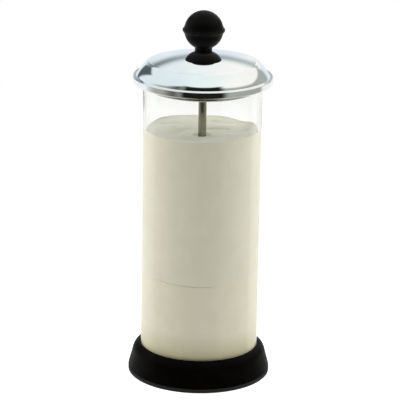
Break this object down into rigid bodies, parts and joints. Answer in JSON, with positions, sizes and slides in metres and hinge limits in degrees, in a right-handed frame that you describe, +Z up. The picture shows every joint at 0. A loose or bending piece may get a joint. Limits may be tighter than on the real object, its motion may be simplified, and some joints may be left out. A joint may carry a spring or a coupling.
{
  "type": "milk frother",
  "caption": "Hand milk frother: straight glass beaker in a flared black base, domed chrome lid, and a ball-knobbed plunger rod with a double mesh head and edge spring.",
  "frame": {"origin": "centre of the foot ring, on the surface that the frother stands on", "axes": "+Z up along the beaker's and plunger's shared axis; the object is round, so +X and +Y are free choices, with +Y away from the viewer"},
  "size_m": [0.0848, 0.0848, 0.2207],
  "materials": {
    "glass": "clear, fire-polished",
    "base_plastic": "satin moulded black",
    "foot_rubber": "matt black",
    "pad_rubber": "matt grey",
    "chrome": "mirror polish",
    "stamped_steel": "bright stamped",
    "machined_steel": "turned",
    "rod_steel": "drawn and polished",
    "bush_plastic": "moulded black nylon",
    "knob_plastic": "polished black",
    "brass": "turned",
    "mesh_steel": "woven",
    "spring_steel": "drawn wire"
  },
  "bodies": {
    "beaker": {"glass_beaker": "glass", "base_shell": "base_plastic", "foot_ring": "foot_rubber", "seat_pad": "pad_rubber"},
    "lid": {"lid_dome": "chrome", "lid_pan": "stamped_steel", "guide_bush": "bush_plastic", "spacer_sleeve": "machined_steel", "bush_washer": "machined_steel", "bush_nut": "machined_steel"},
    "plunger": {"knob_lower": "knob_plastic", "knob_upper": "knob_plastic", "knob_insert": "brass", "plunger_rod": "rod_steel", "head_collar": "machined_steel", "top_plate": "stamped_steel", "upper_screen": "mesh_steel", "upper_screen_rim": "stamped_steel", "spring_plate": "stamped_steel", "edge_spring": "spring_steel", "lower_screen": "mesh_steel", "lower_screen_rim": "stamped_steel", "cross_plate": "stamped_steel", "lock_washer": "machined_steel", "head_nut": "machined_steel"}
  },
  "joints": [
    {"name": "lid_lift", "type": "slide", "parent": "beaker", "child": "lid", "axis": [0, 0, 1], "range_m": [0, 0.175]},
    {"name": "plunger_slide", "type": "slide", "parent": "lid", "child": "plunger", "axis": [0, 0, 1], "range_m": [0, 0.148]}
  ]
}
